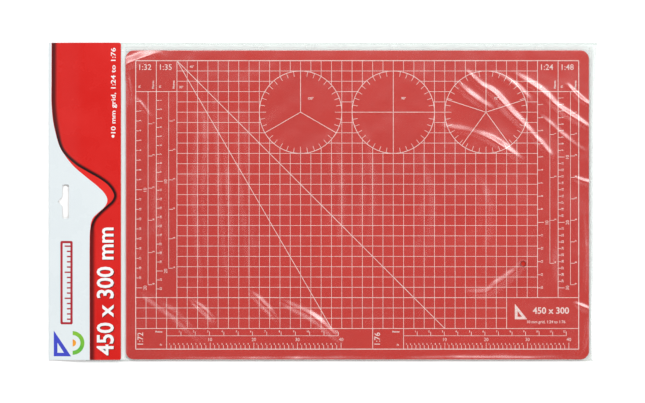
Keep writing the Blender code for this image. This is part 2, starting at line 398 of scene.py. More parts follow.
def set_square(x, y, width, height, opening):
    """A right-angled triangle with an opening, whose points are in millimetres from the right angle."""
    return [[(x, y), (x + width, y), (x, y + height)], [(x + a * MM, y + b * MM) for a, b in opening]]


def mesh_of(obj):
    """A curve's or text's mesh; the object is removed."""
    mesh = evaluated(obj)
    bpy.data.objects.remove(obj, do_unlink=True)
    return mesh


@contextmanager
def editing(mesh):
    """Opens a mesh for changes and writes them back."""
    work = bmesh.new()
    work.from_mesh(mesh)
    yield work
    work.to_mesh(mesh)
    work.free()


def filled(outlines, thickness):
    """The mesh of a flat plate centred on z = 0; outlines after the first are holes unless they lie apart."""
    curve = bpy.data.curves.new("plate", "CURVE")
    curve.dimensions = "2D"
    curve.fill_mode = "BOTH"
    curve.extrude = thickness / 2
    for outline in outlines:
        spline = curve.splines.new("POLY")
        spline.points.add(len(outline) - 1)
        for point, (x, y) in zip(spline.points, outline):
            point.co = (x, y, 0.0, 1.0)
        spline.use_cyclic_u = True
    mesh = mesh_of(new_object("plate", curve, None))
    with editing(mesh) as slab:
        bmesh.ops.remove_doubles(slab, verts=slab.verts, dist=1e-7)
    return mesh


def lettering(body, cap, thickness, bold):
    """The mesh of a line of text, its baseline along +X from the origin."""
    curve = bpy.data.curves.new("lettering", "FONT")
    curve.body = body
    curve.size = cap / FONT_CAP
    curve.extrude = thickness / 2
    curve.offset = bold
    curve.resolution_u = 3
    return mesh_of(new_object("lettering", curve, None))


def moved(mesh, x, y, z, degrees=0.0, stretch=1.0):
    """Stretches a mesh along X, turns it about Z and moves it."""
    turn = Matrix.Rotation(math.radians(degrees), 4, "Z")
    mesh.transform(Matrix.Translation((x, y, z)) @ turn @ Matrix.Diagonal((stretch, 1, 1, 1)))
    return mesh


def extent(mesh):
    """Where the mesh starts and ends along X."""
    xs = [v.co.x for v in mesh.vertices]
    return min(xs), max(xs)


def joined(name, meshes, material):
    """One object from several meshes."""
    whole = bmesh.new()
    for mesh in meshes:
        whole.from_mesh(mesh)
        bpy.data.meshes.remove(mesh)
    out = bpy.data.meshes.new(name)
    whole.to_mesh(out)
    whole.free()
    out.materials.clear()
    return new_object(name, out, material)


def smooth(obj, angle=30):
    """Applies the modifiers and shades the mesh smooth, apart from edges sharper than the angle."""
    mesh = evaluated(obj)
    obj.modifiers.clear()
    obj.data = mesh
    mesh.shade_smooth()
    mesh.set_sharp_from_angle(angle=math.radians(angle))
    return obj


def part_way(first, second, start, end, t):
    """The value at time t between the first at the start and the second at the end."""
    return (end - t) / (end - start) * first + (t - start) / (end - start) * second


def spline_points(knots, step):
    """Points along a smooth curve through the knots (centripetal Catmull-Rom), about step apart."""
    knots = [np.array(k, float) for k in knots]
    padded = [2 * knots[0] - knots[1], *knots, 2 * knots[-1] - knots[-2]]
    points = []
    for p0, p1, p2, p3 in zip(padded, padded[1:], padded[2:], padded[3:]):
        chords = [math.sqrt(np.linalg.norm(b - a)) for a, b in ((p0, p1), (p1, p2), (p2, p3))]
        t0, t1, t2, t3 = np.cumsum([0.0, *chords])
        count = max(2, round(np.linalg.norm(p2 - p1) / step))
        for t in np.linspace(t1, t2, count, endpoint=False):
            a1, a2, a3 = part_way(p0, p1, t0, t1, t), part_way(p1, p2, t1, t2, t), part_way(p2, p3, t2, t3, t)
            b1, b2 = part_way(a1, a2, t0, t2, t), part_way(a2, a3, t1, t3, t)
            points.append(part_way(b1, b2, t1, t2, t))
    return np.array([*points, knots[-1]])


def in_mm(points):
    """Places given in millimetres, in metres."""
    return [(x * MM, y * MM) for x, y in points]


def grid_object(name, points, material):
    """A sheet from a (rows, columns, 3) array of points."""
    rows, columns = points.shape[:2]
    index = np.arange(rows * columns).reshape(rows, columns)
    faces = np.stack([index[:-1, :-1], index[:-1, 1:], index[1:, 1:], index[1:, :-1]], -1).reshape(-1, 4)
    mesh = bpy.data.meshes.new(name)
    mesh.from_pydata(points.reshape(-1, 3).tolist(), [], faces.tolist())
    mesh.update()
    return new_object(name, mesh, material)


def keep_values(mesh, name, values):
    """Keeps one value for each vertex on the mesh, where a material can read it."""
    attribute = mesh.attributes.new(name, "FLOAT", "POINT")
    attribute.data.foreach_set("value", values.reshape(-1).astype(np.float32))


def thickened(obj, thickness, angle=60):
    """Gives a sheet its thickness, half to each side, and shades it smooth."""
    modifier = obj.modifiers.new("Thickness", "SOLIDIFY")
    modifier.thickness = thickness
    modifier.offset = 0.0
    modifier.use_even_offset = True
    return smooth(obj, angle)


# ---- the mat's plies

def ply(name, node, low, high, material, slot, edge):
    """A slab of the mat, with its cut edges just broken."""
    slab = filled([box_outline(low, high, (MAT_CORNER,) * 4, 20)], high.z - low.z)
    obj = new_object(name, moved(slab, 0, 0, (low.z + high.z) / 2), material)
    bevel = obj.modifiers.new("Cut edge", "BEVEL")
    bevel.width = edge
    bevel.segments = 2
    bevel.limit_method = "ANGLE"
    bevel.angle_limit = math.radians(50)
    place(smooth(obj), "mat", slot, node)


ply("mat_face", "mat_top_ply", mat_low, mat_high, MAT_RED, "mat_surface", 0.15 * MM)
ply("mat_core", "mat_core_ply", core_low, core_high, MAT_CORE, "mat_core", 0.04 * MM)
ply("mat_underside", "mat_bottom_ply", under_low, under_high, MAT_UNDER, "mat_underside", 0.15 * MM)


# ---- the printed grid and scales

def at(column, row):
    """A place on the print, in metres, from its column and row."""
    return GRID_LEFT + column * CELL, GRID_TOP - row * CELL


class Print:
    """Gathers lines and lettering that share one ink."""

    def __init__(self):
        self.meshes = []
        self.verts = []
        self.faces = []
        self.level = 0

    def top(self):
        """Each level lies a hair above the last, so that crossing lines don't share a face."""
        return MAT_TOP + INK_HEIGHT + self.level * LEVEL_STEP

    def line(self, start, end, width=FINE_LINE):
        """A straight raised line between two (column, row) places."""
        a, b = np.array(at(*start)), np.array(at(*end))
        side = np.array([a[1] - b[1], b[0] - a[0]]) / np.linalg.norm(b - a) * width / 2
        self.band([a - side, b - side], [a + side, b + side])

    def across(self, row, start, end, width=FINE_LINE):
        self.line((start, row), (end, row), width)

    def down(self, column, start, end, width=FINE_LINE):
        self.line((column, start), (column, end), width)

    def band(self, first, second, closed=False):
        """A raised band between two edges of equal count."""
        count, base = len(first), len(self.verts)
        levels = (MAT_TOP - INK_HEIGHT / 2,) * 2 + (self.top(),) * 2
        for near, far in zip(first, second):
            self.verts += [(point[0], point[1], z) for point, z in zip((near, far, far, near), levels)]
        for step in range(count if closed else count - 1):
            i, j = base + 4 * step, base + 4 * ((step + 1) % count)
            self.faces += [(i + k, i + (k + 1) % 4, j + (k + 1) % 4, j + k) for k in range(4)]
        if not closed:
            last = base + 4 * (count - 1)
            self.faces += [(base + 3, base + 2, base + 1, base), (last, last + 1, last + 2, last + 3)]

    def ring(self, column, row, radius, width):
        inner, outer = (circle(*at(column, row), radius + side * width / 2, RING_STEPS) for side in (-1, 1))
        self.band(inner, outer, True)

    def text(self, body, column, row, cap, degrees=0.0, bold=BOLD):
        """Lettering centred on the place."""
        mesh = lettering(body, cap, INK_HEIGHT, bold)
        start, end = extent(mesh)
        moved(mesh, -(start + end) / 2, -cap / 2, self.top() - INK_HEIGHT / 2)
        x, y = at(column, row)
        self.meshes.append(moved(mesh, x, y, 0, degrees))

    def plate(self, outlines):
        self.meshes.append(moved(filled(outlines, INK_HEIGHT), 0, 0, self.top() - INK_HEIGHT / 2))

    def finish(self, name):
        mesh = bpy.data.meshes.new(name + "_lines")
        mesh.from_pydata(self.verts, [], self.faces)
        obj = joined(name, [mesh, *self.meshes], INK)
        with editing(obj.data) as lines:
            bmesh.ops.recalc_face_normals(lines, faces=lines.faces)
        place(obj, "mat", "print_ink")


# Rows and columns of the grid where the print changes; RADIUS and the circles' ticks are in cells
RULER_TOP = 3
GRID_START = 4
GRID_END = 39
RULER_BASE = 23
GRID_BOTTOM = 26
BOX_START = 36
CIRCLE_ROW = 5
CIRCLE_COLUMNS = (16, 25, 34)
CIRCLE_RADIUS = 40 * MM
RADIUS = CIRCLE_RADIUS / CELL
CIRCLE_TICK = 0.5
QUARTER_TICK = 0.65
SHORTEST_LINE = 0.05

# A foot and a metre in millimetres, the sizes of the lettering, and the ticks' lengths in cells
FOOT = 304.8
METRE = 1000.0
DIGIT = 1.9 * MM
SMALL_WORD = 1.7 * MM
ANGLE_CAP = 2.1 * MM
TENS = 3.1 * MM
LABEL = 5.4 * MM
LABEL_BOLD = 0.03 * MM
METRE_COLUMN = 1.2
SHORT_TICK = 0.30
TICK = 0.40
METRE_TICK = 0.42
LONG_TICK = 0.62


def open_spans(start, end, circles):
    """The parts of a line outside circles; a circle is (its middle along the line, its distance off it)."""
    stops = [start]
    for middle, off in circles:
        reach = RADIUS ** 2 - off ** 2
        if reach > 0:
            stops += [middle - math.sqrt(reach), middle + math.sqrt(reach)]
    stops.append(end)
    return [(low, high) for low, high in zip(stops[::2], stops[1::2]) if high - low > SHORTEST_LINE]


def grid_lines(sheet):
    """The ten-millimetre grid, left open inside the three circles."""
    for column in range(GRID_START + 1, GRID_END):
        circles = [(CIRCLE_ROW, column - centre) for centre in CIRCLE_COLUMNS]
        for span in open_spans(0, GRID_BOTTOM if column <= BOX_START else RULER_BASE, circles):
            sheet.down(column, *span)
    sheet.level = 1
    for row in range(1, GRID_BOTTOM):
        start, end = (GRID_START, GRID_END) if row < RULER_BASE else (0, BOX_START)
        for span in open_spans(start, end, [(centre, row - CIRCLE_ROW) for centre in CIRCLE_COLUMNS]):
            sheet.across(row, *span)
    for column in range(1, GRID_START):
        sheet.down(column, RULER_BASE, GRID_BOTTOM)


def frame_lines(sheet):
    """The border, and the heavier lines that part the scales and the size box from the grid."""
    sheet.level = 2
    for row in (0, ROWS):
        sheet.across(row, 0, COLUMNS, BORDER_LINE)
    for column in (0, COLUMNS):
        sheet.down(column, 0, ROWS, BORDER_LINE)
    sheet.level = 3
    for row in (RULER_BASE, GRID_BOTTOM):
        sheet.across(row, 0, COLUMNS, RULER_LINE)
    for start, end in ((0, GRID_START), (GRID_END, COLUMNS)):
        sheet.across(RULER_TOP, start, end, RULER_LINE)
    sheet.level = 4
    sheet.down(GRID_START, 0, GRID_BOTTOM, RULER_LINE)
    sheet.down(BOX_START, RULER_BASE, GRID_BOTTOM, RULER_LINE)
    for column in (GRID_END, 2, GRID_END + 2):
        sheet.down(column, 0, RULER_BASE, RULER_LINE)


def angle_lines(sheet):
    sheet.level = 5
    for degrees, name_column, name_row in ((45, 1.45, 0.58), (30, 0.42, 2.56)):
        reach = GRID_BOTTOM * math.tan(math.radians(degrees))
        sheet.line((GRID_START, 0), (GRID_START + reach, GRID_BOTTOM), RULER_LINE)
        sheet.text(f"{degrees}°", GRID_START + name_column, name_row, ANGLE_CAP)


def spoke(sheet, column, degrees, inner, width):
    """A line out to a circle from inside it, at an angle from straight up."""
    a = math.radians(degrees)
    sheet.line(*((column + r * math.sin(a), CIRCLE_ROW - r * math.cos(a)) for r in (inner, RADIUS)), width)


def protractor(sheet, column, parts):
    """A ticked circle divided into equal parts, one line up from its middle."""
    sheet.level = 7
    sheet.ring(column, CIRCLE_ROW, CIRCLE_RADIUS, RULER_LINE)
    sheet.level = 5
    for degrees in range(0, 360, 10):
        tick = CIRCLE_TICK if degrees % 90 else QUARTER_TICK
        spoke(sheet, column, degrees, RADIUS - tick, FINE_LINE)
    sheet.level = 6
    for part in range(parts):
        spoke(sheet, column, 360 / parts * part, 0, RULER_LINE)
    sheet.text(f"{360 // parts}°", column + 1.0, CIRCLE_ROW - 1.35, 2.2 * MM)


def marks(start, unit, scale, count):
    """(number, place) of each mark of a scale that counts from the start."""
    pitch = unit / scale * MM / CELL
    return [(number, start + number * pitch) for number in range(1, count + 1)]


def upright_ruler(sheet, column, scale, feet, metres):
    """Scale feet down the column's left line and scale metres down a second line beside it."""
    sheet.text(f"1:{scale}", column + 0.93, 0.62, LABEL, bold=LABEL_BOLD)
    sheet.text("Ft", column + 0.36, 2.50, DIGIT, 90)
    sheet.text("Metres", column + 1.68, 2.32, DIGIT, 90)
    metre_marks = marks(RULER_TOP, METRE, scale, metres)
    divider = column + METRE_COLUMN
    sheet.down(divider, RULER_TOP, metre_marks[-1][1])
    for number, row in marks(RULER_TOP, FOOT, scale, feet):
        if number % 10 == 0:
            sheet.across(row, column, column + LONG_TICK, TICK_LINE)
            sheet.text(str(number), column + 0.90, row, TENS, 90, 0)
        else:
            sheet.across(row, column, column + SHORT_TICK, TICK_LINE)
            sheet.text(str(number), column + 0.43, row - 0.03, DIGIT, 90)
    for number, row in metre_marks:
        sheet.across(row, divider, divider + METRE_TICK, TICK_LINE)
        sheet.text(str(number), divider + 0.52, row - 0.10, DIGIT, 90)


def level_ruler(sheet, column, scale, title, feet, metres):
    """Scale feet along the border's lower line, and scale metres along a line above them."""
    sheet.down(column, GRID_BOTTOM, ROWS, RULER_LINE)
    sheet.text(f"1:{scale}", title, 26.97, LABEL, 90, LABEL_BOLD)
    sheet.text("Metres", column - 0.75, GRID_BOTTOM + 0.30, SMALL_WORD)
    sheet.text("Ft", column - 0.55, ROWS - 0.42, SMALL_WORD)
    metre_row = GRID_BOTTOM + 0.7
    metre_marks = marks(column, METRE, scale, metres)
    sheet.across(metre_row, column, metre_marks[-1][1])
    for number, mark in metre_marks:
        sheet.down(mark, metre_row, metre_row - TICK, TICK_LINE)
        sheet.text(str(number), mark - 0.17, metre_row - 0.42, SMALL_WORD)
    for number, mark in marks(column, FOOT, scale, feet):
        if number % 10 == 0:
            sheet.down(mark, ROWS, ROWS - LONG_TICK, TICK_LINE)
            sheet.text(str(number), mark, ROWS - 0.94, TENS, bold=0)
        else:
            sheet.down(mark, ROWS, ROWS - TICK, TICK_LINE)
            sheet.text(str(number % 10), mark - 0.13, ROWS - 0.50, 1.5 * MM)


def size_box(sheet):
    """The box at the lower right: the sheet's size, and a plain set square."""
    x, y = at(BOX_START + 0.8, RULER_BASE + 2.1)
    sheet.plate(set_square(x, y, 12 * MM, 15 * MM, ((2.6, 2.4), (7.0, 2.4), (2.6, 7.9))))
    sheet.text("450 x 300", BOX_START + 4.3, RULER_BASE + 1.25, 6.0 * MM, bold=0.16 * MM)
    sheet.text("10 mm grid, 1:24 to 1:76", BOX_START + 3.85, RULER_BASE + 2.35, 2.6 * MM, bold=0.05 * MM)


def printed_sheet():
    lines = Print()
    grid_lines(lines)
    frame_lines(lines)
    angle_lines(lines)
    for column, parts in zip(CIRCLE_COLUMNS, (3, 4, 5)):
        protractor(lines, column, parts)
    lines.finish("grid_print")
    scales = Print()
    scales.level = 8
    for ruler in ((0, 32, 20, 6), (2, 35, 22, 6), (GRID_END, 24, 15, 4), (GRID_END + 2, 48, 30, 9)):
        upright_ruler(scales, *ruler)
    for ruler in ((3, 72, 0.44, 40, 12), (26, 76, 23.44, 40, 12)):
        level_ruler(scales, *ruler)
    for column in (0, 23):
        scales.down(column, GRID_BOTTOM, ROWS, RULER_LINE)
    size_box(scales)
    scales.finish("scale_print")


printed_sheet()


# ---- the film bag

FILM_STEP = 2.5 * MM
FLANGE_Z = 0.62 * MM
MOUTH_FLANGE_Z = 1.22 * MM
MOUTH_UNDER_Z = 0.775 * MM
UPPER_RUN = 5.2 * MM
LOWER_RUN = 0.65 * MM
END_RUN = 4.0 * MM
SHOULDER = 0.12 * MM
LOOP_DEPTH = 1.9 * MM
LOOP_START = cad_high.x - 2.0 * MM
FILM_GAP = 0.12 * MM
VENT = (194.7 * MM, -60.2 * MM)
VENT_RADIUS = 2.5 * MM
VENT_LIP = 0.14 * MM
SLOW_DRIFT = 0.42 * MM
QUICK_DRIFT = 0.10 * MM
GATHER = 0.35 * MM
EDGE_WANDER = 0.22 * MM
RIPPLE = 0.02 * MM
RIPPLE_HALF_WAVE = 0.9 * MM

# Creases in the film, in millimetres: (steepness of the flanks, half width, points along the crest)
CREASES = (
    (0.15, 4.2, (138, 128), (150, 116), (160, 108), (169, 101)),
    (0.24, 5.6, (150, 115), (166, 105), (179, 90), (194, 75), (208, 60)),
    (0.17, 4.2, (200, 69), (208, 60), (224, 42)),
    (0.18, 5.0, (128, 117), (140, 106), (153, 96), (166, 90)),
    (0.17, 4.6, (112, 73), (126, 71), (142, 68), (155, 64)),
    (0.22, 5.0, (140, 69), (155, 64), (164, 60), (178, 51), (196, 39)),
    (0.17, 5.0, (184, 125), (205, 112), (219, 101), (231, 90)),
    (0.25, 4.6, (214, 104), (229, 91), (241, 83), (257, 73), (263, 70)),
    (0.13, 4.6, (163, 127), (179, 118), (194, 106), (205, 92)),
    (0.25, 3.6, (236, 115), (243, 107), (251, 99), (263, 92)),
    (0.14, 4.0, (206, 88), (222, 74), (238, 60), (256, 48)),
    (0.25, 3.8, (242, 24), (252, 20), (264, 17)),
    (0.23, 5.2, (136, -87), (150, -89), (160, -88), (169, -81), (179, -74), (188, -67), (198, -57)),
    (0.25, 3.6, (243, -98), (252, -102), (262, -106)),
    (0.24, 3.6, (-129, -94), (-120, -101), (-112, -108), (-104, -117)),
    (0.20, 4.0, (-72, -86), (-62, -95), (-52, -105), (-43, -117)),
    (0.24, 4.8, (-42, -95), (-27, -103), (-12, -110), (2, -121), (20, -138)),
    (0.15, 5.4, (-178, -86), (-162, -97), (-142, -111), (-127, -126), (-108, -141)),
    (0.25, 6.4, (-201, 126), (-188, 134), (-176, 139), (-156, 146)),
    (0.22, 2.6, (-189, 133), (-189, 120), (-187, 106), (-188, 90)),
    (0.18, 3.0, (-183, 102), (-176, 94), (-167, 82)),
    (0.26, 2.6, (60, -152.2), (130, -152.0), (190, -152.1), (254, -151.6)),
    (0.22, 2.4, (-168, -152.3), (-80, -152.5), (20, -152.3), (80, -152.2)),
    (0.18, 2.4, (253, -10), (255, -50), (254, -92)),
    (0.22, 2.6, (256, -112), (256, -130), (252, -146)),
)
# Broad soft folds that run across the sheet
FOLDS = (
    (0.18, 6.5, (-121, 125), (-118, 60), (-120, 10), (-115, -85)),
    (0.18, 6.0, (-104, 118), (-100, 70), (-96, 20), (-89, -92)),
    (0.15, 6.5, (-80, 90), (-76, 20), (-67, -85)),
    (0.14, 7.5, (9, 70), (14, 20), (12, -50)),
    (0.13, 7.5, (37, 80), (44, 25), (39, -60)),
    (0.12, 8.0, (90, 60), (101, 0), (94, -70)),
    (0.13, 7.0, (-152, 70), (-157, 0), (-150, -75)),
    (0.12, 7.5, (150, 30), (158, -10), (154, -50)),
    (0.13, 6.5, (226, -20), (222, -60), (230, -100)),
)


def tent(share):
    """Straight flanks with a rounded crest and a rounded foot."""
    level = 1.12 - np.sqrt(share ** 2 + 0.12 ** 2)
    foot = 0.25
    return np.where(level > foot, level, np.clip(level + foot, 0, None) ** 2 / (4 * foot))


def ridge(x, y, knots, steepness, half_width):
    """A crease's height over the sheet: it fades out at both ends."""
    path = spline_points(in_mm(knots), 3 * MM)
    steps = np.diff(path, axis=0)
    lengths = np.concatenate([[0.0], np.cumsum(np.linalg.norm(steps, axis=1))])
    reach = 1.4 * half_width * MM
    low, high = path.min(0) - reach, path.max(0) + reach
    near = (x > low[0]) & (x < high[0]) & (y > low[1]) & (y < high[1])
    away = np.stack([x[near], y[near]], -1)[:, None] - path[:-1]
    t = np.clip((away * steps).sum(-1) / (steps ** 2).sum(-1), 0, 1)
    distance = np.linalg.norm(away - t[..., None] * steps, axis=-1)
    closest = np.arange(len(distance)), distance.argmin(-1)
    along = ((lengths[:-1] + t * np.diff(lengths)) / lengths[-1])[closest]
    taper = np.sin(np.pi * np.clip(along, 0, 1)) ** 0.7
    out = np.zeros(x.shape)
    width = half_width * MM * (0.55 + 0.45 * taper)
    out[near] = steepness * half_width * MM * taper * tent(distance[closest] / width)
    return out


def waves(x, y, wavelength, seed, count=7):
    """A smooth, repeatable unevenness between -1 and 1."""
    rng = np.random.default_rng(seed)
    total = np.zeros(np.broadcast(x, y).shape)
    for _ in range(count):
        angle, phase = rng.uniform(0, math.pi), rng.uniform(0, 2 * math.pi)
        length = wavelength * rng.uniform(0.6, 1.7)
        total += np.sin((x * math.cos(angle) + y * math.sin(angle)) * 2 * math.pi / length + phase)
    return np.clip(total / count ** 0.5 / 1.6, -1, 1)


def stations(low, high, step, extra):
    """Even stations with extra ones near the edges."""
    even = np.linspace(low, high, round((high - low) / step) + 1)
    too_close = 0.35 * step
    kept = [value for value in even if all(abs(value - e) > too_close for e in extra)]
    return np.array(sorted([*kept, *extra]))


def end_line(y):
    """How far the closed end lies past its even line: pinched low down, and flaring at the upper corner."""
    heights = (-154, -140, -125, -95, -75, 90, 125, 154)
    lengths = (-3.4, -4.0, -4.3, -4.1, -2.8, -2.2, -0.6, 1.2)
    return np.interp(y / MM, heights, lengths) * MM


def edge_shift(x, y):
    """The bag's outline is never quite straight."""
    share = np.clip(np.abs(y) / (150 * MM), 0, 1) ** 8
    return EDGE_WANDER * share * waves(x, 0 * y, 60 * MM, 5)


def film_top(x, y):
    """Height of the front film over the whole bag."""
    free = smoothstep((x - HEADER_RIGHT - 0.5 * MM) / (4 * MM))
    flange = FLANGE_Z + (MOUTH_FLANGE_Z - FLANGE_Z) * (1 - free)
    up = np.clip((y - mat_high.y - SHOULDER) / UPPER_RUN, 0, 1)
    down = np.clip((mat_low.y - SHOULDER - y) / LOWER_RUN, 0, 1)
    out = np.clip((x - mat_high.x - SHOULDER) / END_RUN, 0, 1)
    share = (1 - up) ** 1.4 * (1 - down) ** 0.9 * (1 - out) ** 1.8
    relief = np.zeros(x.shape)
    for steepness, half_width, *knots in CREASES + FOLDS:
        crest = ridge(x, y, knots, steepness, half_width)
        relief = np.hypot(relief, crest) * 0.35 + np.maximum(relief, crest) * 0.65
    drift = SLOW_DRIFT * (1 + waves(x, y, 38 * MM, 3)) + QUICK_DRIFT * (1 + waves(x, y, 15 * MM, 9))
    gathered = np.clip(waves(x, 0 * y, 17 * MM, 12), 0, 1)
    pucker = GATHER * gathered * smoothstep((y - mat_high.y + 4 * MM) / (5 * MM)) * (1 - up) ** 0.5
    from_vent = np.hypot(x - VENT[0], y - VENT[1]) - VENT_RADIUS
    rim = VENT_LIP * np.exp(-(((from_vent - 0.5 * MM) / (0.6 * MM)) ** 2))
    return flange + (FILM_Z - flange) * share + free * (share * (relief + drift + rim) + pucker)


def film_milk(x, y):
    """Milk value: whiter down the doubled sides, partly real and partly painted light over the shade beside
    the mat, with a painted highlight line past the mat's upper edge and end, and painted light over the gap
    by the header.
    """
    beyond_upper = smoothstep((y - mat_high.y) / (1.5 * MM))
    beyond_lower = smoothstep((mat_low.y - y) / (0.4 * MM))
    beyond_end = smoothstep((x - mat_high.x) / (1.5 * MM))
    side = np.maximum(np.maximum(beyond_upper, beyond_lower), beyond_end)
    past = np.hypot(np.clip(x - mat_high.x, 0, None), np.clip(y - mat_high.y, 0, None))
    # A painted highlight line just outside the mat's upper edge and end.
    whitening = 0.35 * np.exp(-(((past - 0.7 * MM) / (0.7 * MM)) ** 2)) * np.maximum(beyond_upper, beyond_end)
    # Painted light: the film over the gap between header and mat is whitened where it lies in shade.
    gap = smoothstep((x - HEADER_RIGHT + 1 * MM) / (1 * MM)) * smoothstep((mat_low.x - x) / (0.8 * MM))
    streaks = 0.5 + 0.5 * waves(x, y, 16 * MM, 31)
    return np.maximum(side * (0.22 + 0.14 * streaks) + whitening, 0.75 * gap)


def warped(x, y):
    """The sheet's flat place with the bag's uneven outline."""
    hold = mat_high.x + 0.3 * MM
    share = np.clip(x - hold, 0, None) / (LOOP_START + LOOP_DEPTH - hold)
    return x + share * end_line(y), y + edge_shift(x, y)


def open_vent(sheet):
    """Cuts the vent hole, and pulls its edge onto a true circle."""
    centre = Vector((*VENT, 0))
    inside = [face for face in sheet.faces if (face.calc_center_median() - centre).length < VENT_RADIUS]
    bmesh.ops.delete(sheet, geom=inside, context="FACES")
    for vert in sheet.verts:
        out = vert.co - centre
        if vert.is_boundary and out.length < 2 * VENT_RADIUS:
            vert.co = centre + out.normalized() * VENT_RADIUS


FINE_PATHS = [(spline_points(in_mm(knots), 2 * MM), 1.05 * width * MM) for _, width, *knots in CREASES]
FINE_PATHS.append((np.array([VENT]), 2 * VENT_RADIUS))


def near_crease(point):
    """Whether a flat place lies on a crease or at the vent, where the mesh has to be finer."""
    x, y = np.array([point.x]), np.array([point.y])
    return any(np.hypot(path[:, 0] - x, path[:, 1] - y).min() < reach for path, reach in FINE_PATHS)


def beside(edge, *distances):
    """Places at the given distances from an edge, in millimetres."""
    return [edge + distance * MM for distance in distances]


def film_piece(name, x, y, z, material, thickness=FILM_THICKNESS):
    """A sheet of film over flat places, with the bag's uneven outline."""
    return thickened(grid_object(name, np.stack([*warped(x, y), z], -1), material), thickness)


def flat_front():
    """The front film lying flat, with smaller faces along the creases."""
    near_end = beside(mat_high.x, -0.6, 0.0, 0.4, 1.0, 1.8, 2.8, 4.0)
    near_upper = beside(mat_high.y, -0.7, 0.0, 0.4, 1.0, 1.8, 2.8, 4.0)
    near_lower = beside(mat_low.y, -0.65, -0.5, -0.35, -0.12, 0.2, 0.9)
    xs = stations(back_film_low.x, LOOP_START, FILM_STEP, near_end)
    ys = stations(lower_weld_high.y, weld_low.y, FILM_STEP, near_lower + near_upper)
    x, y = np.meshgrid(xs, ys)
    flat = grid_object("film_front", np.stack([x, y, 0 * x], -1), FILM)
    with editing(flat.data) as sheet:
        creased = [face for face in sheet.faces if near_crease(face.calc_center_median())]
        fine = {edge for face in creased for edge in face.edges}
        bmesh.ops.subdivide_edges(sheet, edges=list(fine), cuts=2, use_grid_fill=True)
        open_vent(sheet)
    return flat


def front_sheet():
    obj = flat_front()
    x, y, _ = np.array([vert.co for vert in obj.data.vertices]).T
    shaped = np.stack([*warped(x, y), film_top(x, y)], -1)
    obj.data.vertices.foreach_set("co", shaped.reshape(-1).astype(np.float32))
    keep_values(obj.data, "milk_and_painted_light", film_milk(x, y))
    thickened(obj, FILM_THICKNESS)
    place(obj, "bag", "clear_film", "bag_front_film", "bag_upper_side", "bag_lower_side", "bag_end_slope")


def vent_rim():
    """A ring of dark tinted film round the punched vent hole, thicker than the film round it: painted shade
    at the hole's edge.
    """
    radii = np.linspace(VENT_RADIUS - 0.35 * MM, VENT_RADIUS + 0.45 * MM, 5)
    radius, angle = np.meshgrid(radii, np.linspace(0, 2 * math.pi, 49))
    x, y = VENT[0] + radius * np.cos(angle), VENT[1] + radius * np.sin(angle)
    obj = grid_object("vent_rim", np.stack([x, y, film_top(x, y) + 0.06 * MM], -1), VENT_SHADE)
    place(thickened(obj, 2 * FILM_THICKNESS), "bag", "clear_film")


def film_under(x, y):
    """Height of the back film: flat on the table under the mat, raised onto the card at the mouth."""
    over_header = 1 - smoothstep((x - HEADER_RIGHT - 0.2 * MM) / (3.6 * MM))
    rise = smoothstep((y - mat_high.y - 1 * MM) / (5 * MM))
    rise = np.maximum(rise, smoothstep((x - mat_high.x - 0.5 * MM) / (4 * MM)))
    rise = np.maximum(rise, smoothstep((mat_low.y - 0.1 * MM - y) / (0.7 * MM)))
    table = (0.08 + 0.05 * (1 + waves(x, y, 60 * MM, 21))) * MM
    outside = table + (FLANGE_Z - FILM_GAP - table) * rise
    return outside + (MOUTH_UNDER_Z - outside) * over_header


def back_sheet():
    low, high = back_film_low, back_film_high
    near_edges = beside(HEADER_RIGHT, 0.0, 1.0, 2.0, 3.0, 4.0) + beside(mat_high.x, 0, 1.5, 3.0, 4.5)
    xs = stations(low.x, LOOP_START, 4 * MM, near_edges)
    ys = stations(lower_weld_high.y, weld_low.y, 4 * MM, beside(mat_high.y, 0.5, 2.0, 3.5, 5.0))
    x, y = np.meshgrid(xs, ys)
    obj = film_piece("film_back", x, y, film_under(x, y), FILM_ON_TABLE)
    place(obj, "bag", "clear_film", "bag_back_film")


def side_weld(name, node, low, high):
    """The melted side seam: both films in one ribbon, with a fine ripple pressed into it."""
    x, y = np.meshgrid(np.linspace(low.x, LOOP_START + LOOP_DEPTH, 420), np.linspace(low.y, high.y, 5))
    inner = np.full(x.shape, low.y if low.y > 0 else high.y)
    ripple = RIPPLE * np.sin(x / RIPPLE_HALF_WAVE * math.pi)
    z = (film_top(x, inner) + film_under(x, inner)) / 2 + ripple
    obj = film_piece(name, x, y, z, WELD, 2 * FILM_THICKNESS + 0.06 * MM)
    place(obj, "bag", "welded_film", node)


def end_fold():
    """The closed end: the film turns back on itself in a small soft loop."""
    radius = FILM_GAP / 2
    loop = arc((1.8 * MM, FLANGE_Z - radius), radius, 90, -90, 8)
    out, heights = np.array([(0.0, FLANGE_Z), *loop, (0.0, FLANGE_Z - FILM_GAP)]).T
    y, x = np.meshgrid(np.linspace(lower_weld_high.y, weld_low.y, 160), LOOP_START + out)
    obj = film_piece("film_end_loop", x, y, heights[:, None] + 0 * x, FILM)
    place(obj, "bag", "clear_film", "bag_end_fold")


front_sheet()
vent_rim()
back_sheet()
side_weld("weld_upper", "bag_upper_weld", weld_low, weld_high)
side_weld("weld_lower", "bag_lower_weld", lower_weld_low, lower_weld_high)
end_fold()


# ---- the header card

RISE_STEPS = 36
CARD_CORNER = 2 * MM
CARD_CORNERS = (0, CARD_CORNER, CARD_CORNER, 0)
TRIM = 0.06 * MM
SHADOW_OFFSET = (0.75 * MM, -0.55 * MM)
PRINT_THICKNESS = 0.02 * MM
CREASE_GAP = 0.2 * MM
RISE_START_X = CREASE_X + CREASE_GAP


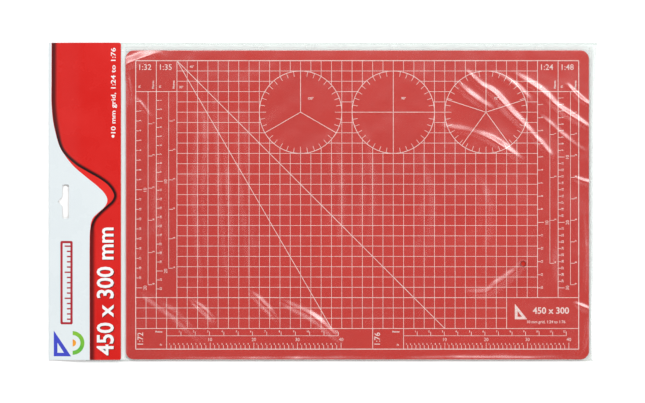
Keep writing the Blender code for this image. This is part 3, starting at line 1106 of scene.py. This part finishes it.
def card_rise(x):
    """Height of the front card's upper face: it leaves the crease level, rises and lies flat on the bag."""
    share = smoothstep((x - RISE_START_X) / (RISE_END_X - RISE_START_X))
    return 2 * CREASE_RADIUS + share * (card_high.z - 2 * CREASE_RADIUS)


CARD_STATIONS = np.linspace(RISE_START_X, RISE_END_X, RISE_STEPS + 1)


def card_outline(inset=0.0):
    """The front panel's outline from the rise on; only the corners away from the fold are round."""
    right, lower, upper = HEADER_RIGHT - inset, card_low.y + inset, card_high.y - inset
    return rounded_rectangle(RISE_START_X, right, lower, upper, CARD_CORNERS, 8)


def draped(mesh, lift):
    """Bends a flat mesh over the front card: cut at the card's stations, then raised to its height."""
    with editing(mesh) as bent:
        low = min(v.co.x for v in bent.verts)
        high = max(v.co.x for v in bent.verts)
        for station in CARD_STATIONS[1:]:
            if low < station < high:
                whole = [*bent.verts, *bent.edges, *bent.faces]
                place_on_x = (station, 0, 0)
                bmesh.ops.bisect_plane(bent, geom=whole, dist=1e-8, plane_co=place_on_x, plane_no=(1, 0, 0))
        for vert in bent.verts:
            vert.co.z += float(card_rise(vert.co.x)) + lift
    return mesh


def plate(*outlines):
    """A flat mesh as thin as one printed colour."""
    return filled(outlines, PRINT_THICKNESS)


def layer(name, meshes, material, level):
    """One printed colour on the front card; level counts the colours under it."""
    lift = (level + 0.5) * PRINT_THICKNESS
    place(joined(name, [draped(mesh, lift) for mesh in meshes], material), "header_flap", "header_print")


def front_panel():
    mesh = draped(filled([card_outline(), hanging_slot()], CARD_THICKNESS - 0.02 * MM), -CARD_THICKNESS / 2)
    place(smooth(new_object("card_front", mesh, BOARD)), "header_flap", "header_card", "header_front_panel")
    layer("card_front_white", [plate(card_outline(0.05 * MM), hanging_slot())], WHITE_PRINT, 0)


def back_panel():
    outline = box_outline(back_card_low, back_card_high, CARD_CORNERS, 8)
    mesh = filled([outline, hanging_slot()], CARD_THICKNESS - 0.04 * MM)
    mesh = moved(mesh, 0, 0, CARD_THICKNESS / 2 + 0.01 * MM)
    place(smooth(new_object("card_back", mesh, BOARD)), "header", "header_card", "header_back_panel")
    white = moved(plate(outline, hanging_slot()), 0, 0, PRINT_THICKNESS / 2)
    place(new_object("card_back_white", white, WHITE_PRINT), "header", "header_card")


def crease():
    """The fold itself, and a thin skin of card over where the fold meets the front panel."""
    ys = np.linspace(crease_low.y, crease_high.y, 40)
    profile = arc((CREASE_X, CREASE_RADIUS), CREASE_RADIUS - CARD_THICKNESS / 2, 88, 270, 20)
    points = np.array([[(x, y, z) for y in ys] for x, z in profile])
    fold = thickened(grid_object("card_crease", points, WHITE_PRINT), CARD_THICKNESS, 30)
    place(fold, "header", "header_card", "header_crease")

    reach = 0.9 * MM
    xs = np.linspace(CREASE_X - reach, RISE_START_X + reach, 13)
    drop = CREASE_RADIUS - np.sqrt(CREASE_RADIUS ** 2 - np.clip(CREASE_X - xs, 0, CREASE_RADIUS) ** 2)
    tops = np.where(xs < CREASE_X, 2 * CREASE_RADIUS - drop, card_rise(xs)) + 1.6 * PRINT_THICKNESS
    points = np.array([[(x, y, z) for x, z in zip(xs, tops)] for y in ys])
    skin = thickened(grid_object("card_fold_skin", points, WHITE_PRINT), 0.03 * MM, 30)
    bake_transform(skin)


# The printed band: its outer edge and the dark line inside it, as millimetres (from the fold, up the card)
BAND_EDGE = (
    (3.4, 155.0), (3.3, 120.0), (3.5, 92.0), (6.3, 74.5), (12.4, 51.5), (23.1, 36.0), (36.0, 24.6),
    (48.5, 14.4), (55.2, 7.2), (57.3, 1.4), (54.8, -4.6), (48.6, -10.4), (43.4, -15.6), (41.2, -21.0),
    (40.9, -30.0), (40.9, -154.0),
)
DARK_LINE = (
    (5.4, 155.0), (5.3, 120.0), (5.5, 92.0), (8.2, 71.0), (13.9, 51.0), (26.2, 38.2), (38.0, 30.8),
    (50.6, 23.6), (58.6, 17.6), (63.6, 11.0), (65.2, 5.6), (63.0, 0.2), (57.4, -5.0), (50.4, -11.4),
    (45.4, -17.4), (43.0, -24.0), (42.6, -34.0), (42.6, -154.0),
)


def on_card(points):
    return [(cad_low.x + across * MM, up * MM) for across, up in points]


def clipped(points):
    """Keeps a path inside the card's height."""
    low, high = card_low.y + TRIM, card_high.y - TRIM
    return [(x, min(max(y, low), high)) for x, y in points]


def between(path, upper, lower):
    """The part of a downward path that lies between two heights."""
    start, stop = (next(i for i, (_, y) in enumerate(path) if y < height) for height in (upper, lower))
    return path[start:stop]


def red_band():
    """The printed red to the right of its edge, and the brighter lip between that edge and the dark line."""
    edge = clipped(spline_points(on_card(BAND_EDGE), 2 * MM))
    middle_x = HEADER_RIGHT - TRIM - CARD_CORNER
    lower, upper = card_low.y + TRIM + CARD_CORNER, card_high.y - TRIM - CARD_CORNER
    corners = arc((middle_x, lower), CARD_CORNER, 270, 360, 8) + arc((middle_x, upper), CARD_CORNER, 0, 90, 8)
    layer("card_red_band", [plate(edge + corners)], RED_PRINT, 1)

    line = clipped(spline_points(on_card(DARK_LINE), 2 * MM))
    lip_end = -21 * MM
    lip = between(edge, 75 * MM, lip_end) + between(line, 71 * MM, lip_end)[::-1]
    layer("card_bright_lip", [plate(lip)], BRIGHT_RED, 2)


def dark_edge():
    """The band's dark inner line, fading towards the right, with its shade kept on the mesh."""
    path = spline_points(on_card(DARK_LINE), 1.5 * MM)
    path = path[(path[:, 1] > card_low.y + 0.1 * MM) & (path[:, 1] < card_high.y - 0.1 * MM)]
    path = np.array([(path[0][0], card_high.y - 0.08 * MM), *path, (path[-1][0], card_low.y + 0.08 * MM)])
    y = path[:, 1]
    tangent = np.gradient(path, axis=0)
    tangent /= np.linalg.norm(tangent, axis=1)[:, None]
    side = np.stack([-tangent[:, 1], tangent[:, 0]], -1)
    bulge = smoothstep((80 * MM - y) / (30 * MM)) * smoothstep((y + 34 * MM) / (16 * MM))
    lower = smoothstep((-20 * MM - y) / (16 * MM))
    across = np.linspace(0, 1, 13)
    offset = (across[None, :] - 0.38) * (6.6 - 2.3 * bulge)[:, None] * MM
    points = np.zeros((len(path), len(across), 3))
    points[..., :2] = path[:, None, :] + side[:, None, :] * offset[..., None]
    points[..., 2] = card_rise(points[..., 0]) + 3.5 * PRINT_THICKNESS
    rise = smoothstep(across / 0.12)
    fall = 1 - smoothstep((across - 0.30) / 0.70)
    obj = grid_object("card_dark_edge", points, EDGE_PRINT)
    keep_values(obj.data, "shade", (0.76 + 0.24 * bulge - 0.10 * lower)[:, None] * np.minimum(rise, fall))
    place(thickened(obj, PRINT_THICKNESS * 0.6), "header_flap", "header_print")


def upright_text(body, cap, length, x, y, bold):
    """Lettering that reads up the card and is fitted to a length."""
    mesh = lettering(body, cap, PRINT_THICKNESS, bold)
    start, end = extent(mesh)
    stretch = length / (end - start)
    moved(mesh, -start * stretch, 0, 0, 0, stretch)
    return moved(mesh, x, y, 0, 90)


def header_lettering():
    title = ("450 x 300 mm", 15.6 * MM, 124 * MM, HEADER_RIGHT - 7.6 * MM, -149.0 * MM)
    shadow = upright_text(*title, 0.45 * MM)
    layer("card_title_shadow", [moved(shadow, *SHADOW_OFFSET, 0)], SHADOW_PRINT, 3)
    layer("card_title", [upright_text(*title, 0.40 * MM)], TITLE_WHITE, 4)
    note_x = HEADER_RIGHT - 5.4 * MM
    note = upright_text("10 mm grid, 1:24 to 1:76", 4.3 * MM, 83 * MM, note_x, 66.5 * MM, 0.09 * MM)
    dot = plate(circle(note_x - 2.4 * MM, 63.6 * MM, 1.4 * MM))
    layer("card_note", [note, dot], TITLE_WHITE, 3)


def ruler_icon():
    """A framed ruler with fifteen ticks along its right side; every fifth is longer."""
    left, right = cad_low.x + 11.5 * MM, cad_low.x + 23.5 * MM
    lower, upper = -119.0 * MM, -38.0 * MM
    wall = 2.2 * MM
    half_tick = 0.7 * MM
    square = (0,) * 4
    inside = right - wall
    opening = rounded_rectangle(left + wall, inside, lower + wall, upper - wall, (0.6 * MM,) * 4, 4)
    meshes = [plate(rounded_rectangle(left, right, lower, upper, (1.6 * MM,) * 4, 6), opening)]
    for tick in range(1, 16):
        y = lower + tick * (upper - lower) / 16
        reach = (3.4 if tick % 5 else 5.6) * MM
        meshes.append(plate(rounded_rectangle(inside - reach, inside, y - half_tick, y + half_tick, square)))
    layer("card_ruler_icon", meshes, ICON_RED, 1)


def pictograms():
    """A plain ruler, set square and half-round protractor printed on the white of the card."""
    ruler_icon()
    x, y = cad_low.x + 5.0 * MM, -150.0 * MM
    square = set_square(x, y, 17 * MM, 25 * MM, ((3.6, 3.4), (10.0, 3.4), (3.6, 13.2)))
    layer("card_square_icon", [plate(*square)], ICON_BLUE, 1)
    centre = (cad_low.x + 23.5 * MM, -137.0 * MM)
    rim = arc(centre, 11.5 * MM, -90, 90, 32) + arc(centre, 7.6 * MM, 90, -90, 32)
    layer("card_protractor_icon", [plate(rim)], ICON_GREEN, 2)
    layer("card_protractor_hub", [plate(arc(centre, 3.4 * MM, -90, 90, 16))], ICON_ORANGE, 2)


front_panel()
back_panel()
crease()
red_band()
dark_edge()
header_lettering()
pictograms()
for node in ("header_front_tape", "header_back_tape"):
    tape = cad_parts[node]
    tape.data.materials.clear()
    tape.data.materials.append(TAPE)


# ---- floor, light and camera

LAMP_DISTANCE = 3.2
LAMP_OFF_VERTICAL = 28
STRIP_WIDTH = 0.34
SKY_STRENGTH = 1.13
VIEW_WIDTH = 626.8 * MM
VIEW_CENTRE_Y = 0.3 * MM
# The sky's brightness from the horizon, at 0, up to the zenith, at 1
SKY = ((0.0, 0.55), (0.70, 0.50), (0.80, 0.90), (0.950, 0.90), (0.980, 0.14), (1.0, 0.06))


def stage():
    bpy.ops.mesh.primitive_plane_add(size=8.0, location=(0, 0, -0.02 * MM))
    floor = bpy.context.object
    floor.name = "floor"
    n = Nodes("floor_white")
    shade = n.ramp(n.noise(3.0), [(0.3, 0.93), (0.7, 0.95)])
    floor.data.materials.append(n.surface(Base_Color=shade, Roughness=0.9))


def softbox(name, azimuth, length, power):
    """A long soft strip aimed at the middle of the pack."""
    light = bpy.data.lights.new(name, "AREA")
    light.shape = "RECTANGLE"
    light.size = length
    light.size_y = STRIP_WIDTH
    light.energy = power
    a, b = math.radians(azimuth), math.radians(LAMP_OFF_VERTICAL)
    obj = new_object(name, light, None)
    direction = Vector((math.sin(b) * math.cos(a), math.sin(b) * math.sin(a), math.cos(b)))
    obj.location = direction * LAMP_DISTANCE
    obj.rotation_euler = (-obj.location).to_track_quat("-Z", "Y").to_euler()


def lighting():
    """A bright ring of sky round a darker zenith, and long soft strips that draw the creases."""
    world = bpy.data.worlds.new("studio")
    world.use_nodes = True
    nodes, link = world.node_tree.nodes, world.node_tree.links.new
    split = nodes.new("ShaderNodeSeparateXYZ")
    link(nodes.new("ShaderNodeTexCoord").outputs["Generated"], split.inputs[0])
    ramp = nodes.new("ShaderNodeValToRGB")
    link(split.outputs["Z"], ramp.inputs["Fac"])
    set_stops(ramp.color_ramp, SKY)
    link(ramp.outputs["Color"], nodes["Background"].inputs["Color"])
    nodes["Background"].inputs["Strength"].default_value = SKY_STRENGTH
    bpy.context.scene.world = world
    softbox("key", 48, 1.3, 34)
    softbox("fill", 228, 1.3, 7)
    softbox("upper_strip", 110, 1.1, 28)


def camera():
    """Straight above, through a long lens, with the whole pack in view."""
    data = bpy.data.cameras.new("camera")
    data.lens = 200
    data.sensor_width = 36
    data.clip_end = 50
    obj = new_object("camera", data, None)
    obj.location = (0, VIEW_CENTRE_Y, VIEW_WIDTH * data.lens / data.sensor_width)
    bpy.context.scene.camera = obj


stage()
lighting()
camera()
bpy.context.scene.view_settings.view_transform = "Standard"
